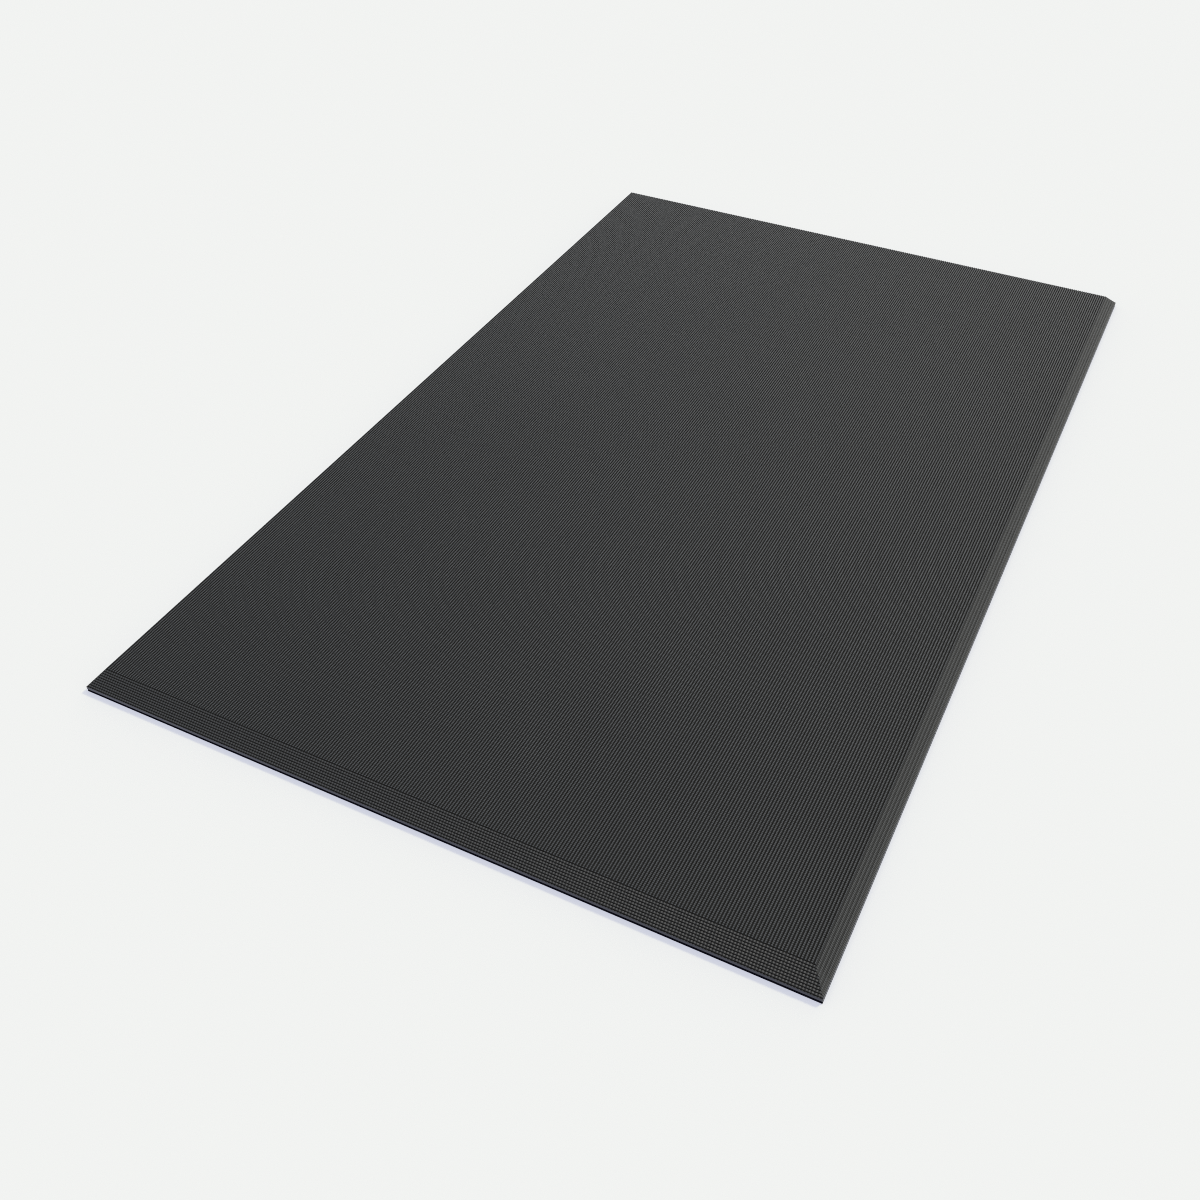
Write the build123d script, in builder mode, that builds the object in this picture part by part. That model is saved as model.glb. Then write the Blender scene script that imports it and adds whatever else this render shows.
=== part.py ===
"""Anti-fatigue floor mat with a bevelled border on all four sides.

Three bonded layers, from the floor up:
  grip_base   a dense rubber sheet, trimmed to the full outline
  foam_core   the cushion, a shallow frustum set in from the outline
  wear_skin   the moulded cover, flat on top, sloping down to a low lip all round

Frame: X across the mat, Y along its length, Z up.
The origin is at the middle of the outline, on the floor.
"""

import os

from build123d import *

# Overall sizes, in millimetres
mat_width = 660.0
mat_length = 1025.0
mat_thickness = 19.0

# Border: the top slopes down from the standing surface to a low upright lip.
# The slope is longer at the two ends than at the two sides.
end_bevel_width = 15.5
side_bevel_width = 12.5
lip_height = 5.5

# Layers: the skin's thickness is measured square to its face
base_thickness = 2.0
skin_thickness = 1.8
core_edge_top = 6.5

core_top = mat_thickness - skin_thickness
bevel_rise = mat_thickness - lip_height


def bevel_slope(bevel_width):
    """How far a bevel rises for each millimetre inwards from the lip."""
    return bevel_rise / bevel_width


def core_inset(bevel_width):
    """How far the core's upright edge stands in from the outline.

    The skin's inner face runs parallel to the bevel, one skin thickness below it,
    and the core's upright edge ends where that face is at the height core_edge_top.
    """
    slope = bevel_slope(bevel_width)
    upright_thickness = skin_thickness * (1 + slope**2) ** 0.5
    return (core_edge_top - lip_height + upright_thickness) / slope


def core_run(bevel_width):
    """How far the core's bevel reaches inwards while it rises to the core's flat top."""
    return (core_top - core_edge_top) / bevel_slope(bevel_width)


def bevelled_slab(side_inset, end_inset, edge_z, top_z, side_run, end_run):
    """A slab on the base sheet: upright edges up to edge_z, then bevels up to top_z.

    The insets stand in from the mat's outline, and the runs are the bevels' widths.
    """
    width = mat_width - 2 * side_inset
    length = mat_length - 2 * end_inset
    with BuildPart() as slab:
        with BuildSketch(Plane.XY.offset(base_thickness)):
            Rectangle(width, length)
        extrude(amount=edge_z - base_thickness)
        with BuildSketch(Plane.XY.offset(edge_z)):
            Rectangle(width, length)
        with BuildSketch(Plane.XY.offset(top_z)):
            Rectangle(width - 2 * side_run, length - 2 * end_run)
        loft()
    return slab.part


def skin_form():
    """The mat's outer shape above the base sheet."""
    return bevelled_slab(0, 0, lip_height, mat_thickness, side_bevel_width, end_bevel_width)


def core_form():
    """The cushion's shape, which is also the hollow in the skin."""
    side_inset = core_inset(side_bevel_width)
    end_inset = core_inset(end_bevel_width)
    side_run = core_run(side_bevel_width)
    end_run = core_run(end_bevel_width)
    return bevelled_slab(side_inset, end_inset, core_edge_top, core_top, side_run, end_run)


os.makedirs("parts", exist_ok=True)

with BuildPart() as grip_base:
    with BuildSketch(Plane.XY):
        Rectangle(mat_width, mat_length)
    extrude(amount=base_thickness)
grip_base.part.label = "grip_base"

with BuildPart() as foam_core:
    add(core_form())
foam_core.part.label = "foam_core"

with BuildPart() as wear_skin:
    add(skin_form())
    add(core_form(), mode=Mode.SUBTRACT)
wear_skin.part.label = "wear_skin"

export_step(grip_base.part, "parts/grip_base.step")
export_step(foam_core.part, "parts/foam_core.step")
export_step(wear_skin.part, "parts/wear_skin.step")
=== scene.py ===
"""Anti-fatigue mat: the finished surfaces of its cover, foam core and grip sheet.

Lengths are in metres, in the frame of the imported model: X across the mat, Y along it, Z up,
with the origin in the middle of the outline on the floor.
"""

import math
from types import SimpleNamespace

import bpy
import numpy as np
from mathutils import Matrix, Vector


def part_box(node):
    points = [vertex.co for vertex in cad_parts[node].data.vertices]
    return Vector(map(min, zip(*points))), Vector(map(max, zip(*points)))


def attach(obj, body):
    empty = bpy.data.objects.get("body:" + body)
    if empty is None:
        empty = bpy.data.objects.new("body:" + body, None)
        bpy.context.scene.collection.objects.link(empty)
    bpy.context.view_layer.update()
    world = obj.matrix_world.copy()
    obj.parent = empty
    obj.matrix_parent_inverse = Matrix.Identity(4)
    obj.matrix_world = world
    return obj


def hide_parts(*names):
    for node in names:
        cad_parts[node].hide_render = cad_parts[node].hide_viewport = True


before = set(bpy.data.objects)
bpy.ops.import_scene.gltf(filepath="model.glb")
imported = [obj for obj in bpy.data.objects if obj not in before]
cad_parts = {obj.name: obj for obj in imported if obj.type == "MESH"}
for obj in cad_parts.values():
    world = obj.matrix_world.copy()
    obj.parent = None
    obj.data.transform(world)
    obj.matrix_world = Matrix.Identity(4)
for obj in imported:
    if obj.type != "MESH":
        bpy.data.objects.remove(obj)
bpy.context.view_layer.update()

MM = 0.001

# Heights and places closer than this count as the same, and grid lines are rounded to a nanometre
SAME = 0.0001 * MM
LINE_DECIMALS = 9

# Surface pattern of the cover: ribs along the mat, and rows across it on the two end bevels.
# Half widths are shares of the pitch, from the middle of a ridge.
RIB_PITCH = 2.46 * MM
RIB_HALF_TOP = 0.24
RIB_HALF_FOOT = 0.34
ROW_PITCH = 1.62 * MM
ROW_HALF_TOP = 0.26
ROW_HALF_FOOT = 0.5

# Depth of the grooves between ribs, or between rows on the end bevels, and of the notches or rib
# gaps that cross them. On the side bevels the grooves have only a share of the depth.
MAIN_DEPTH = 1.0 * MM
CROSS_DEPTH = 0.31 * MM
SIDE_SHARE = 0.5

# Each bevel has a smooth margin along the lip. A gap parts its grooves from the margin and crest.
END_MARGIN = 0.32 * MM
END_GAP = 0.42 * MM
SIDE_MARGIN = 1.05 * MM
SIDE_GAP = 0.9 * MM

# Lip: its rounded upper edge, and the seam where cover and grip sheet meet
EDGE_ROUND = 0.2 * MM
SEAM = 0.9 * MM

# How far the middle of a rounded edge lies in from both its faces, as a share of the radius
ROUND_MIDDLE = 0.3

# Cover finish. An edge is the range over which a mask changes: for the notches in row pitches
# from a notch's middle, and for the grooves in shares of their full depth. Grooves and notches get
# painted shade: a shade is how far a notch or a side bevel's groove gets towards the painted shade
# colour, from 0 to 1. The side bevels' ribs get a painted lighter tone, as they face the key light.
# Grains are counted per metre, and their height is a share of a notch's depth.
PIP_DARK = (0.0186, 0.0212, 0.0262)
PIP_LIGHT = (0.0250, 0.0282, 0.0340)
# Painted light: the side bevels' ribs are lighter, as they face the key light
SIDE_BEVEL_PAINTED_LIGHT = (0.036, 0.038, 0.041)
# Painted shade: the near-black colour that grooves and notches are darkened towards
PAINTED_RECESS_SHADE = (0.0015, 0.0015, 0.002)
LIP_COLOUR = (0.008, 0.009, 0.020)
NOTCH_EDGE = (0.10, 0.22)
NOTCH_SHADE = 0.9
GROOVE_EDGE = (0.04, 0.46)
SIDE_GROOVE_SHADE = 0.7
COVER_SPECULAR = 0.35
COVER_GRAINS = 1800.0
COVER_ROUGHNESS = (0.36, 0.46)
GROOVE_ROUGHNESS = 0.95
LIP_SMOOTHER_BY = 0.1
LIP_COAT = 0.25
LIP_COAT_ROUGHNESS = 0.2
COVER_GRAIN_HEIGHT = 0.1
COVER_BUMP = 0.8

# Underside of the grip sheet: square pads between shallow channels, which run on through a rim
# to the sheet's rounded edges
PAD_PITCH = 10.0 * MM
CHANNEL_WIDTH = 2.0 * MM
CHANNEL_DEPTH = 0.5 * MM
RIM_WIDTH = 8.0 * MM
SHEET_ROUND = 0.15 * MM

# Foam: its clearance under the cover, its rounded edges, how far its underside is set in and
# lifted, the cells of its mesh, and the waves on its top, in radians per metre along X and Y
FOAM_GAP = 0.1 * MM
FOAM_ROUND = 1.5 * MM
FOAM_FOOT = 0.3 * MM
FOAM_LIFT = 0.02 * MM
FOAM_CELL = 4.0 * MM
FOAM_WAVE_X = 160.0
FOAM_WAVE_Y = 130.0
FOAM_WAVE_SHIFT = 1.3
FOAM_WAVE_HEIGHT = 0.05 * MM

# Shared by the finishes: the cloudy variation's noise cells per metre, how far it moves the
# roughness of foam and grip sheet, and the strength of their grain
CLOUD_CELLS = 9.0
ROUGHNESS_SWING = 0.06
PLAIN_BUMP = 0.6

# Studio. The key light comes from behind the mat on the right, the fill from the front and the
# rim from lower behind. A spread is in degrees.
FLOOR_SIZE = 60.0
FLOOR_COLOUR = (0.24, 0.235, 0.15)
FLOOR_GLOW = (0.428, 0.455, 0.62)
FLOOR_ROUGHNESS = 0.9
SKY_COLOUR = (0.97, 0.985, 0.99)
SKY_STRENGTH = 0.9
KEY_FROM = (0.58, 0.82, 1.0)
KEY_COLOUR = (1.0, 0.97, 0.82)
KEY_SPREAD = 10.0
KEY_STRENGTH = 3.2
FILL_FROM = (-0.1, -0.78, 0.61)
FILL_COLOUR = (1.0, 0.92, 0.78)
FILL_SPREAD = 30.0
FILL_STRENGTH = 1.1
RIM_FROM = (-0.1, 1.0, 0.5)
RIM_COLOUR = (1.0, 1.0, 1.0)
RIM_SPREAD = 60.0
RIM_STRENGTH = 0.65

# Camera: heading and downward tilt in degrees, lens in millimetres, and how far it sees
CAMERA_PLACE = (0.4206, -0.9717, 0.8033)
CAMERA_HEADING = 25.96
CAMERA_DOWN = 42.01
CAMERA_LENS = 38.50
CAMERA_SHIFT = (-0.0390, -0.0230)
CAMERA_REACH = 50.0


# ---------------------------------------------------------------- frame sizes


def slab_sizes(cad_node):
    """Reads a bevelled slab's sizes from its CAD corners.

    half: the outline's half width and half length. flat: the same for the flat top.
    floor, edge, top: the heights of the underside, of the upright edge's end and of the flat top.
    """
    low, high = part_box(cad_node)
    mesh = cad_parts[cad_node].data
    points = np.empty(len(mesh.vertices) * 3, np.float32)
    mesh.vertices.foreach_get("co", points)
    points = points.reshape(-1, 3)
    near = 0.01 * MM
    at_top = points[points[:, 2] > high.z - near]
    at_side = points[points[:, 0] > high.x - near]
    return SimpleNamespace(
        half=(high.x, high.y),
        flat=(at_top[:, 0].max(), at_top[:, 1].max()),
        floor=low.z,
        edge=at_side[:, 2].max(),
        top=high.z,
    )


skin = slab_sizes("wear_skin")
core = slab_sizes("foam_core")
base_low, base_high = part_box("grip_base")


# ---------------------------------------------------------------- mesh helpers


def new_piece(name, shell, cad_node):
    """Makes a smooth-shaded piece of a shell's points and faces.

    It rides on the mat's one body and stands for one CAD node.
    """
    points, faces = shell
    mesh = bpy.data.meshes.new(name)
    mesh.from_pydata(points, [], faces)
    mesh.validate()
    mesh.shade_smooth()
    piece = bpy.data.objects.new(name, mesh)
    bpy.context.scene.collection.objects.link(piece)
    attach(piece, "root")
    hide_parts(cad_node)
    return piece


def grid_faces(count_x, count_y, up):
    """Quads of a count_x by count_y grid of points, numbered along X first, facing up or down."""
    i, j = np.meshgrid(np.arange(count_x - 1), np.arange(count_y - 1))
    first = (j * count_x + i).ravel()
    quads = np.stack([first, first + 1, first + count_x + 1, first + count_x], axis=1)
    return quads if up else quads[:, ::-1]


def grid_border(count_x, count_y):
    """The numbers of a grid's outer points, in order, anticlockwise seen from above."""
    number = np.arange(count_x * count_y).reshape(count_y, count_x)
    return np.concatenate([number[0, :-1], number[:-1, -1], number[-1, :0:-1], number[:0:-1, 0]])


def ring_faces(first_ring, second_ring):
    """A band of quads between two closed rings of as many points."""
    after_first = np.roll(first_ring, -1)
    after_second = np.roll(second_ring, -1)
    return np.stack([first_ring, second_ring, after_second, after_first], axis=1)


def fan_faces(ring, centre, up):
    """Triangles from a closed ring to one point. They close a shell whose grid faces up or down."""
    middle = np.full_like(ring, centre)
    after = np.roll(ring, -1)
    return np.stack([ring, middle, after] if up else [ring, after, middle], axis=1)


def inset_rings(half, section):
    """Turns a section, a list of (inset from the outline, height), into rings for add_rings."""
    return [(half[0] - inset, half[1] - inset, height) for inset, height in section]


def add_rings(points, loop, rings):
    """Adds closed rings of points to a grid of points.

    Each ring is (half width, half length, height): the border loop scaled to that rectangle.
    Returns the enlarged points and each ring's point numbers, the border loop first.
    """
    border = points[loop]
    reach = np.abs(border[:, :2]).max(axis=0)
    numbers = [loop]
    blocks = [points]
    count = len(points)
    for half_x, half_y, height in rings:
        ring = np.empty_like(border)
        ring[:, :2] = border[:, :2] / reach * (half_x, half_y)
        ring[:, 2] = height
        blocks.append(ring)
        numbers.append(np.arange(count, count + len(ring)))
        count += len(ring)
    return np.concatenate(blocks), numbers


def closed_shell(grid_x, grid_y, height, rings, up=True):
    """Closes a height over a grid into a shell, and returns its points and faces.

    Bands run from the grid's border over the rings, and a fan closes the last ring at a point on
    the Z axis, level with it. The grid is the shell's top, or its underside if up is False.
    """
    count_y, count_x = height.shape
    points = np.stack([grid_x.ravel(), grid_y.ravel(), height.ravel()], axis=1)
    points, loops = add_rings(points, grid_border(count_x, count_y), rings)
    quads = [grid_faces(count_x, count_y, up)]
    for inner, outer in zip(loops, loops[1:]):
        quads.append(ring_faces(inner, outer) if up else ring_faces(outer, inner))
    fan = fan_faces(loops[-1], len(points), up)
    centre = (0.0, 0.0, rings[-1][2])
    return np.append(points, [centre], axis=0), np.concatenate(quads).tolist() + fan.tolist()


def ridge_lines(start, end, pitch, half_top, half_foot):
    """Grid lines over ridges side by side from start to end, and the height, 0 or 1, at each.

    There are as many ridges as fit best, and the pitch is adjusted to them. Each is at full
    height within half_top pitches of its middle, and down in the groove at half_foot pitches.
    """
    count = max(1, round((end - start) / pitch))
    step = (end - start) / count
    middles = start + step * (np.arange(count) + 0.5)
    lines = (middles[:, None] + step * np.array([-half_foot, -half_top, half_top, half_foot])).ravel()
    # Where neighbours share a foot, its two lines become one
    lines, first = np.unique(lines.round(LINE_DECIMALS), return_index=True)
    return lines, np.tile([0.0, 1.0, 1.0, 0.0], count)[first]


def with_ends(lines, heights, before, after):
    """Adds lines at full height before and after a run of grid lines."""
    heights = np.concatenate([np.ones(len(before)), heights, np.ones(len(after))])
    return np.concatenate([before, lines, after]), heights


def bevel_planes(slab, grid_x, grid_y, inset=0.0):
    """Heights of the planes of a slab's side bevels and end bevels, over a grid.

    Each plane rises from the upright edge's end, in proportion to the distance inwards from the
    outline less the inset, and reaches the flat top's height over the bevel's width.
    """
    rise = slab.top - slab.edge
    side = slab.edge + (slab.half[0] - inset - abs(grid_x)) * rise / (slab.half[0] - slab.flat[0])
    end = slab.edge + (slab.half[1] - inset - abs(grid_y)) * rise / (slab.half[1] - slab.flat[1])
    return side, end


# ---------------------------------------------------------------- cover


def bevel_lines(half, flat, margin, gap, pitch, half_top, half_foot):
    """Grid lines and ridge heights over one bevel, from its smooth margin in to its crest.

    The outermost groove lies a gap inside the margin, and the innermost a gap outside the crest.
    """
    lines, heights = ridge_lines(-half + margin + gap, -flat - gap, pitch, half_top, half_foot)
    return with_ends(lines, heights, [-half + EDGE_ROUND, -half + margin], [])


def flat_rib_lines(flat):
    """Grid lines and rib heights over the flat top, which has half a rib at each of its sides."""
    ribs = round(2 * flat / RIB_PITCH)
    step = 2 * flat / ribs
    lines, heights = ridge_lines(-flat - step / 2, flat + step / 2, step, RIB_HALF_TOP, RIB_HALF_FOOT)
    inside = abs(lines) < flat - SAME
    return with_ends(lines[inside], heights[inside], [-flat], [flat])


def add_mask(piece, name, on_grid, elsewhere=0.0):
    """Stores a mask on a piece's points: its values over the grid, and one value on all the rest."""
    values = np.full(len(piece.data.vertices), elsewhere, np.float32)
    values[: on_grid.size] = on_grid.ravel()
    piece.data.attributes.new(name, "FLOAT", "POINT").data.foreach_set("value", values)


def make_cover():
    """The moulded cover: a ribbed, bevelled top, a smooth lip and the hollow for the core.

    The top's height is the lowest of three planes, the flat top and the bevels that rise from
    the lip at the sides and at the ends, less the grooves. Ribs run along the mat on the flat
    and on the side bevels. On the end bevels rows across the mat are deeper than the ribs. Where
    the gaps between ribs and between rows meet, the deeper one holds.
    """
    rib_shape = (RIB_PITCH, RIB_HALF_TOP, RIB_HALF_FOOT)
    row_shape = (ROW_PITCH, ROW_HALF_TOP, ROW_HALF_FOOT)
    side_lines, side_ribs = bevel_lines(skin.half[0], skin.flat[0], SIDE_MARGIN, SIDE_GAP, *rib_shape)
    flat_lines, flat_ribs = flat_rib_lines(skin.flat[0])
    x = np.concatenate([side_lines, flat_lines, -side_lines[::-1]])
    rib = np.concatenate([side_ribs, flat_ribs, side_ribs[::-1]])
    end_lines, end_rows = bevel_lines(skin.half[1], skin.flat[1], END_MARGIN, END_GAP, *row_shape)
    y = np.concatenate([end_lines, [-skin.flat[1], skin.flat[1]], -end_lines[::-1]])
    row = np.concatenate([end_rows, [1.0, 1.0], end_rows[::-1]])

    grid_x, grid_y = np.meshgrid(x, y)
    rib, row = np.meshgrid(rib, row)
    side, end = bevel_planes(skin, grid_x, grid_y)
    plane = np.minimum(side, skin.top)
    on_end = end < plane - SAME
    on_side = ~on_end & (side < skin.top - SAME)
    main_depth = np.where(on_side, SIDE_SHARE * MAIN_DEPTH, MAIN_DEPTH)
    rib_depth = np.where(on_end, CROSS_DEPTH, main_depth)
    row_depth = np.where(on_end, MAIN_DEPTH, CROSS_DEPTH)
    groove = np.maximum(rib_depth * (1 - rib), row_depth * (1 - row))

    # From the lip's rounded upper edge down to the seam, in shares of each, then on the inside
    # up to the hollow's top
    rings = inset_rings(skin.half, [
        (0.5 * EDGE_ROUND, skin.edge - 0.1 * EDGE_ROUND),
        (0.0, skin.edge - EDGE_ROUND),
        (0.0, skin.floor + SEAM),
        (0.25 * SEAM, skin.floor + 0.4 * SEAM),
        (0.6 * SEAM, skin.floor),
    ])
    rings += [(*core.half, skin.floor), (*core.half, core.edge), (*core.flat, core.top)]
    shell = closed_shell(grid_x, grid_y, np.minimum(plane, end) - groove, rings)
    piece = new_piece("wear_skin_cover", shell, "wear_skin")
    # Flat shading keeps the walls of the ribs crisp
    piece.data.shade_flat()

    on_side_lip = abs(grid_x) > skin.half[0] - EDGE_ROUND
    on_end_lip = abs(grid_y) > skin.half[1] - EDGE_ROUND
    # The groove mask sets the painted shade in the grooves, and the side mask marks the side bevels
    add_mask(piece, "groove", groove / main_depth)
    add_mask(piece, "notched", abs(grid_y) <= skin.flat[1])
    add_mask(piece, "side", on_side)
    add_mask(piece, "lip", on_side_lip | on_end_lip, elsewhere=1.0)
    return piece


# ---------------------------------------------------------------- foam core


def make_core():
    """The foam cushion: a bevelled slab with softened edges and a faintly uneven top.

    The top follows the lower of the two bevel planes, and bends into the flat: the plane's
    height less round * over^2 / 4, where over grows from 0 to 2 while the plane climbs from one
    round below the flat's height to one round above it. On the flat two crossed sine waves lower
    it by twice their height at most, like foam cut from a block. The whole top lies a gap lower
    than the core, and the lower edge is cut off at a third of the round.
    """
    half = (core.half[0] - FOAM_GAP, core.half[1] - FOAM_GAP)
    x = np.linspace(-half[0], half[0], round(2 * half[0] / FOAM_CELL) + 1)
    y = np.linspace(-half[1], half[1], round(2 * half[1] / FOAM_CELL) + 1)
    grid_x, grid_y = np.meshgrid(x, y)
    lowest = np.minimum(*bevel_planes(core, grid_x, grid_y, FOAM_GAP))
    over = np.clip((lowest - core.top) / FOAM_ROUND + 1, 0, 2)
    height = np.where(over < 2, lowest - FOAM_ROUND * over**2 / 4, core.top)
    height = np.minimum(height, core.top) - FOAM_GAP
    waves = np.sin(grid_x * FOAM_WAVE_X) * np.sin(grid_y * FOAM_WAVE_Y + FOAM_WAVE_SHIFT)
    height = height - FOAM_WAVE_HEIGHT * (1 + waves) * (over >= 2)

    rings = inset_rings(half, [(0.0, core.floor + FOAM_ROUND / 3), (FOAM_FOOT, core.floor + FOAM_LIFT)])
    shell = closed_shell(grid_x, grid_y, height, rings)
    return new_piece("foam_core_cushion", shell, "foam_core")


# ---------------------------------------------------------------- grip sheet


def pad_lines(reach):
    """Grid lines over the sheet's underside in one direction, and a mask of its pads at each.

    A channel is a flat V: it slopes from the pads' edges to the line halfway between them.
    """
    span = reach - RIM_WIDTH
    half_pad = 0.5 - 0.5 * CHANNEL_WIDTH / PAD_PITCH
    lines, pads = ridge_lines(-span, span, PAD_PITCH, half_pad, 0.5)
    rim = [span + CHANNEL_DEPTH, reach - SHEET_ROUND]
    return with_ends(lines, pads, [-rim[1], -rim[0]], rim)


def make_base():
    """The grip sheet: flat above, with square pads between shallow channels below.

    The underside lies at the bottom where the masks of both directions are 1, and a channel's
    depth higher where either is 0.
    """
    half = (base_high.x, base_high.y)
    x, pad_x = pad_lines(half[0])
    y, pad_y = pad_lines(half[1])
    grid_x, grid_y = np.meshgrid(x, y)
    pad_x, pad_y = np.meshgrid(pad_x, pad_y)
    height = base_low.z + CHANNEL_DEPTH * (1 - np.minimum(pad_x, pad_y))
    seam = 0.5 * SEAM
    rings = inset_rings(half, [
        (ROUND_MIDDLE * SHEET_ROUND, base_low.z + ROUND_MIDDLE * SHEET_ROUND),
        (0.0, base_low.z + SHEET_ROUND),
        (0.0, base_high.z - seam),
        (seam, base_high.z),
    ])
    shell = closed_shell(grid_x, grid_y, height, rings, up=False)
    return new_piece("grip_base_sheet", shell, "grip_base")


# ---------------------------------------------------------------- shader helpers


def node(tree, kind, place=(0, 0), **settings):
    """Adds a shader node. Settings name the node's own properties."""
    made = tree.nodes.new("ShaderNode" + kind)
    made.location = place
    for key, value in settings.items():
        setattr(made, key, value)
    return made


def math_node(tree, operation, a, b):
    """Adds a Math node, with each input a number or another node's output. Returns its output."""
    made = node(tree, "Math", operation=operation)
    for socket, value in zip(made.inputs, (a, b)):
        if isinstance(value, (int, float)):
            socket.default_value = value
        else:
            tree.links.new(value, socket)
    return made.outputs[0]


def range_of(tree, value, low, high):
    """Maps a value of 0 to 1 on to low to high."""
    made = node(tree, "MapRange")
    made.inputs["To Min"].default_value = low
    made.inputs["To Max"].default_value = high
    tree.links.new(value, made.inputs["Value"])
    return made.outputs["Result"]


def smooth_mask(tree, value, low, high, flip=False):
    """A mask that rises smoothly from 0 at low to 1 at high, or falls when flip is set."""
    made = node(tree, "MapRange", interpolation_type="SMOOTHSTEP")
    made.inputs["From Min"].default_value = low
    made.inputs["From Max"].default_value = high
    made.inputs["To Min"].default_value = 1.0 if flip else 0.0
    made.inputs["To Max"].default_value = 0.0 if flip else 1.0
    tree.links.new(value, made.inputs["Value"])
    return made.outputs["Result"]


def mix(tree, factor, first, second):
    """Mixes two colours by a factor. Each colour is three numbers or another node's output.

    A Mix node's colours are its inputs 6 and 7, and their mixture its output 2.
    """
    made = node(tree, "Mix", data_type="RGBA")
    tree.links.new(factor, made.inputs[0])
    for socket, value in zip(made.inputs[6:8], (first, second)):
        if isinstance(value, tuple):
            socket.default_value = (*value, 1)
        else:
            tree.links.new(value, socket)
    return made.outputs[2]


def point_mask(tree, name):
    """Reads a mask that is stored on the piece's points."""
    return node(tree, "Attribute", attribute_name=name).outputs["Fac"]


def add_bump(made, height, depth, strength):
    """Turns a mask into relief: the depth is what a mask of 1 stands for."""
    bump = node(made.tree, "Bump")
    bump.inputs["Distance"].default_value = depth
    bump.inputs["Strength"].default_value = strength
    made.tree.links.new(height, bump.inputs["Height"])
    made.tree.links.new(bump.outputs["Normal"], made.shader.inputs["Normal"])


def grain_group():
    """A node group with two masks about a half: fine moulded Grain, and a broad Cloud."""
    group = bpy.data.node_groups.new("moulded_grain", "ShaderNodeTree")
    group.interface.new_socket("Coordinates", in_out="INPUT", socket_type="NodeSocketVector")
    group.interface.new_socket("Grains per Metre", in_out="INPUT", socket_type="NodeSocketFloat")
    group.interface.new_socket("Grain", in_out="OUTPUT", socket_type="NodeSocketFloat")
    group.interface.new_socket("Cloud", in_out="OUTPUT", socket_type="NodeSocketFloat")
    inside = group.nodes.new("NodeGroupInput")
    outside = group.nodes.new("NodeGroupOutput")
    fine = node(group, "TexNoise", (200, 100))
    fine.inputs["Detail"].default_value = 3.0
    fine.inputs["Roughness"].default_value = 0.6
    cloud = node(group, "TexNoise", (200, -200))
    cloud.inputs["Scale"].default_value = CLOUD_CELLS
    cloud.inputs["Detail"].default_value = 4.0
    group.links.new(inside.outputs["Coordinates"], fine.inputs["Vector"])
    group.links.new(inside.outputs["Grains per Metre"], fine.inputs["Scale"])
    group.links.new(inside.outputs["Coordinates"], cloud.inputs["Vector"])
    group.links.new(fine.outputs["Fac"], outside.inputs["Grain"])
    group.links.new(cloud.outputs["Fac"], outside.inputs["Cloud"])
    return group


moulded_grain = grain_group()


def new_material(name, specular, grains):
    """A material with its Principled shader, and the grain group on Object coordinates."""
    made = bpy.data.materials.new(name)
    made.use_nodes = True
    tree = made.node_tree
    shader = tree.nodes["Principled BSDF"]
    shader.inputs["Specular IOR Level"].default_value = specular
    where = node(tree, "TexCoord", (-1200, 0)).outputs["Object"]
    grained = node(tree, "Group", node_tree=moulded_grain)
    grained.inputs["Grains per Metre"].default_value = grains
    tree.links.new(where, grained.inputs["Coordinates"])
    return SimpleNamespace(
        material=made,
        tree=tree,
        shader=shader,
        where=where,
        grain=grained.outputs["Grain"],
        cloud=grained.outputs["Cloud"],
    )


# ---------------------------------------------------------------- materials


def cover_material():
    """Black moulded cover: painted shade in grooves and notches, notched ribs, smooth on its lip."""
    made = new_material("cover_black", COVER_SPECULAR, COVER_GRAINS)
    tree, shader = made.tree, made.shader
    groove = point_mask(tree, "groove")
    notched = point_mask(tree, "notched")
    lip = point_mask(tree, "lip")
    side = point_mask(tree, "side")
    place = node(tree, "SeparateXYZ")
    tree.links.new(made.where, place.inputs[0])
    # One notch in each row pitch: a triangle wave of 0 to a half, cut where it is low
    pitches = math_node(tree, "MULTIPLY", place.outputs["Y"], 1.0 / ROW_PITCH)
    wave = math_node(tree, "PINGPONG", pitches, 0.5)
    notch = math_node(tree, "MULTIPLY", smooth_mask(tree, wave, *NOTCH_EDGE, flip=True), notched)
    # Painted shade: grooves and notches are darkened towards the painted shade colour, less so in the
    # side bevels' grooves
    groove_shade = range_of(tree, side, 1.0, SIDE_GROOVE_SHADE)
    sunk = math_node(tree, "MULTIPLY", smooth_mask(tree, groove, *GROOVE_EDGE), groove_shade)
    deep = math_node(tree, "MAXIMUM", math_node(tree, "MULTIPLY", notch, NOTCH_SHADE), sunk)

    pips = mix(tree, made.cloud, PIP_DARK, PIP_LIGHT)
    # Painted light: the side bevels' ribs get a lighter colour, as they face the key light
    ribs = mix(tree, side, pips, SIDE_BEVEL_PAINTED_LIGHT)
    moulded = mix(tree, deep, ribs, PAINTED_RECESS_SHADE)
    tree.links.new(mix(tree, lip, moulded, LIP_COLOUR), shader.inputs["Base Color"])
    shader.inputs["Coat Roughness"].default_value = LIP_COAT_ROUGHNESS
    tree.links.new(math_node(tree, "MULTIPLY", lip, LIP_COAT), shader.inputs["Coat Weight"])

    rough = range_of(tree, made.cloud, *COVER_ROUGHNESS)
    rougher = math_node(tree, "MAXIMUM", rough, math_node(tree, "MULTIPLY", deep, GROOVE_ROUGHNESS))
    smoother = math_node(tree, "SUBTRACT", rougher, math_node(tree, "MULTIPLY", lip, LIP_SMOOTHER_BY))
    tree.links.new(smoother, shader.inputs["Roughness"])

    grain_height = math_node(tree, "MULTIPLY", made.grain, COVER_GRAIN_HEIGHT)
    add_bump(made, math_node(tree, "SUBTRACT", grain_height, notch), CROSS_DEPTH, COVER_BUMP)
    return made.material


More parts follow.
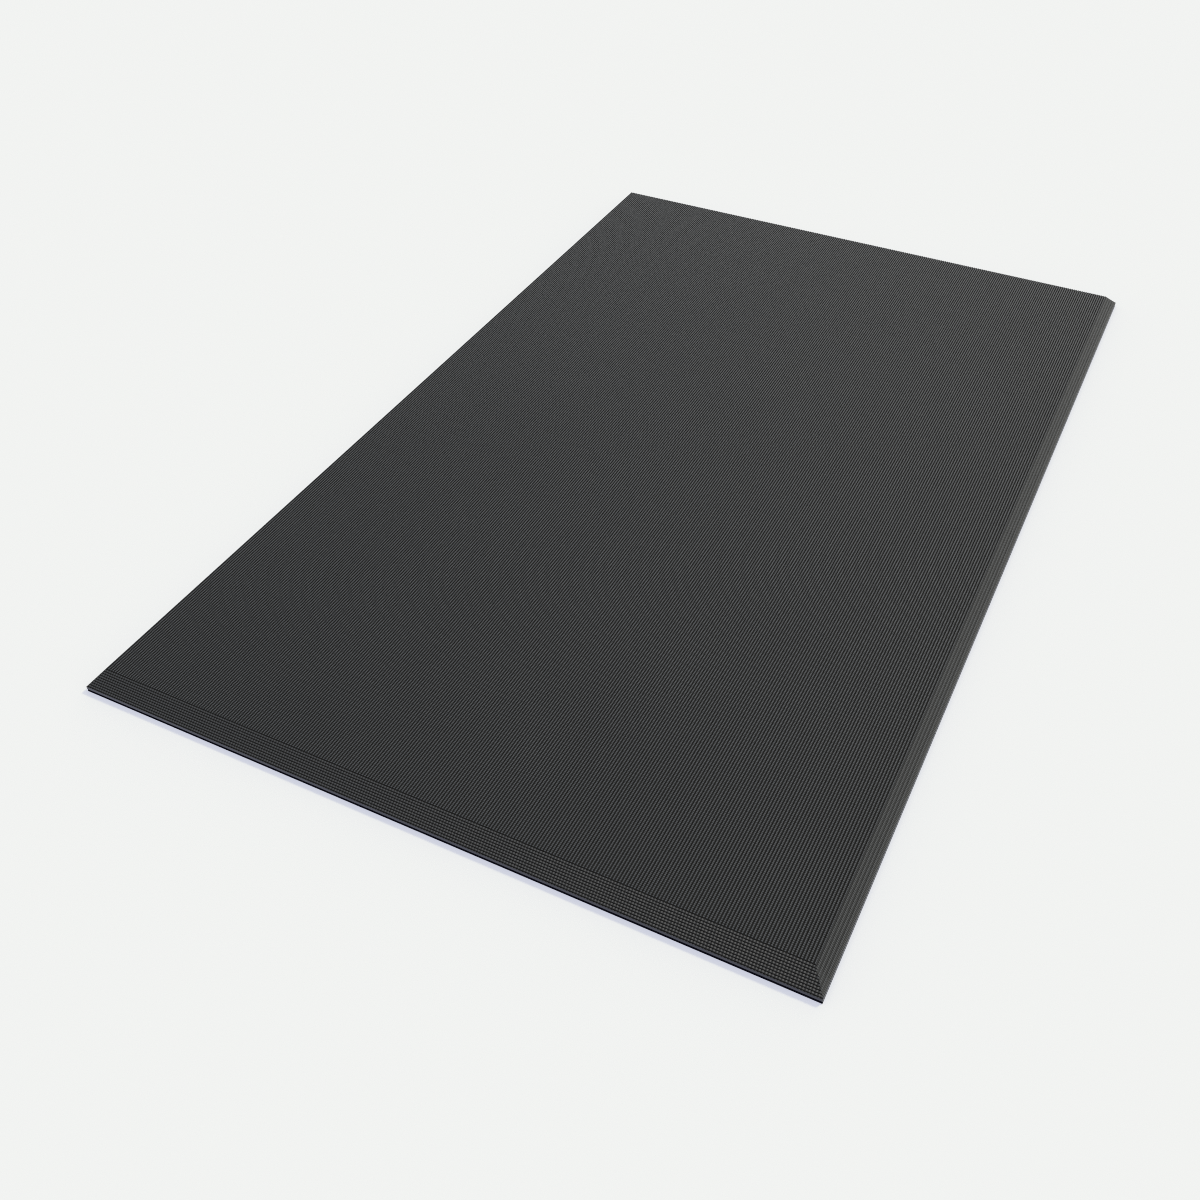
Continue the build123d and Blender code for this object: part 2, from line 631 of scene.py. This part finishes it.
def plain_material(name, dark, light, roughness, specular, grains, bump_depth):
    """A grained material between two colours, for the grip sheet and the foam."""
    made = new_material(name, specular, grains)
    tree, shader = made.tree, made.shader
    tree.links.new(mix(tree, made.grain, dark, light), shader.inputs["Base Color"])
    rough = range_of(tree, made.cloud, roughness - ROUGHNESS_SWING, roughness + ROUGHNESS_SWING)
    tree.links.new(rough, shader.inputs["Roughness"])
    add_bump(made, made.grain, bump_depth, PLAIN_BUMP)
    return made.material


# ---------------------------------------------------------------- stage


def add_light(name, comes_from, colour, spread, strength):
    """A far, soft light. Its spread is how wide it looks from the mat, in degrees."""
    light = bpy.data.lights.new(name, "SUN")
    light.energy = strength
    light.color = colour
    light.angle = math.radians(spread)
    lamp = bpy.data.objects.new(name, light)
    lamp.rotation_euler = Vector(comes_from).to_track_quat("Z", "Y").to_euler()
    bpy.context.scene.collection.objects.link(lamp)


def make_stage():
    """A pale floor that glows faintly, like a light table, an even sky and three soft lights."""
    bpy.ops.mesh.primitive_plane_add(size=FLOOR_SIZE, location=(0, 0, 0))
    floor = bpy.context.object
    floor.name = "studio_floor"
    pale = bpy.data.materials.new("studio_floor")
    pale.use_nodes = True
    shader = pale.node_tree.nodes["Principled BSDF"]
    shader.inputs["Base Color"].default_value = (*FLOOR_COLOUR, 1)
    shader.inputs["Roughness"].default_value = FLOOR_ROUGHNESS
    shader.inputs["Specular IOR Level"].default_value = 0.0
    shader.inputs["Emission Color"].default_value = (*FLOOR_GLOW, 1)
    shader.inputs["Emission Strength"].default_value = 1.0
    floor.data.materials.append(pale)

    world = bpy.data.worlds.new("studio")
    world.use_nodes = True
    background = world.node_tree.nodes["Background"]
    background.inputs["Color"].default_value = (*SKY_COLOUR, 1)
    background.inputs["Strength"].default_value = SKY_STRENGTH
    bpy.context.scene.world = world
    bpy.context.scene.view_settings.view_transform = "Standard"
    # The ribs are so fine that a denoiser or a wide filter would smear them
    bpy.context.scene.cycles.use_denoising = False
    bpy.context.scene.cycles.filter_width = 1.0

    add_light("key", KEY_FROM, KEY_COLOUR, KEY_SPREAD, KEY_STRENGTH)
    add_light("fill", FILL_FROM, FILL_COLOUR, FILL_SPREAD, FILL_STRENGTH)
    add_light("rim", RIM_FROM, RIM_COLOUR, RIM_SPREAD, RIM_STRENGTH)


def make_camera():
    """The camera, level from side to side, looking down along the mat from its near right end."""
    data = bpy.data.cameras.new("camera")
    data.lens = CAMERA_LENS
    data.shift_x, data.shift_y = CAMERA_SHIFT
    data.clip_end = CAMERA_REACH
    camera = bpy.data.objects.new("camera", data)
    camera.location = CAMERA_PLACE
    camera.rotation_euler = (math.radians(90 - CAMERA_DOWN), 0, math.radians(CAMERA_HEADING))
    bpy.context.scene.collection.objects.link(camera)
    bpy.context.scene.camera = camera


# ---------------------------------------------------------------- the mat


cover = make_cover()
cover.data.materials.append(cover_material())

cushion = make_core()
cushion.data.materials.append(plain_material(
    "foam_charcoal",
    dark=(0.03, 0.03, 0.032),
    light=(0.07, 0.07, 0.072),
    roughness=0.9,
    specular=0.3,
    grains=700.0,
    bump_depth=0.5 * MM,
))

sheet = make_base()
sheet.data.materials.append(plain_material(
    "base_rubber",
    dark=(0.002, 0.002, 0.005),
    light=(0.004, 0.004, 0.008),
    roughness=0.8,
    specular=0.0,
    grains=1500.0,
    bump_depth=0.08 * MM,
))

make_stage()
make_camera()

bpy.context.view_layer.update()
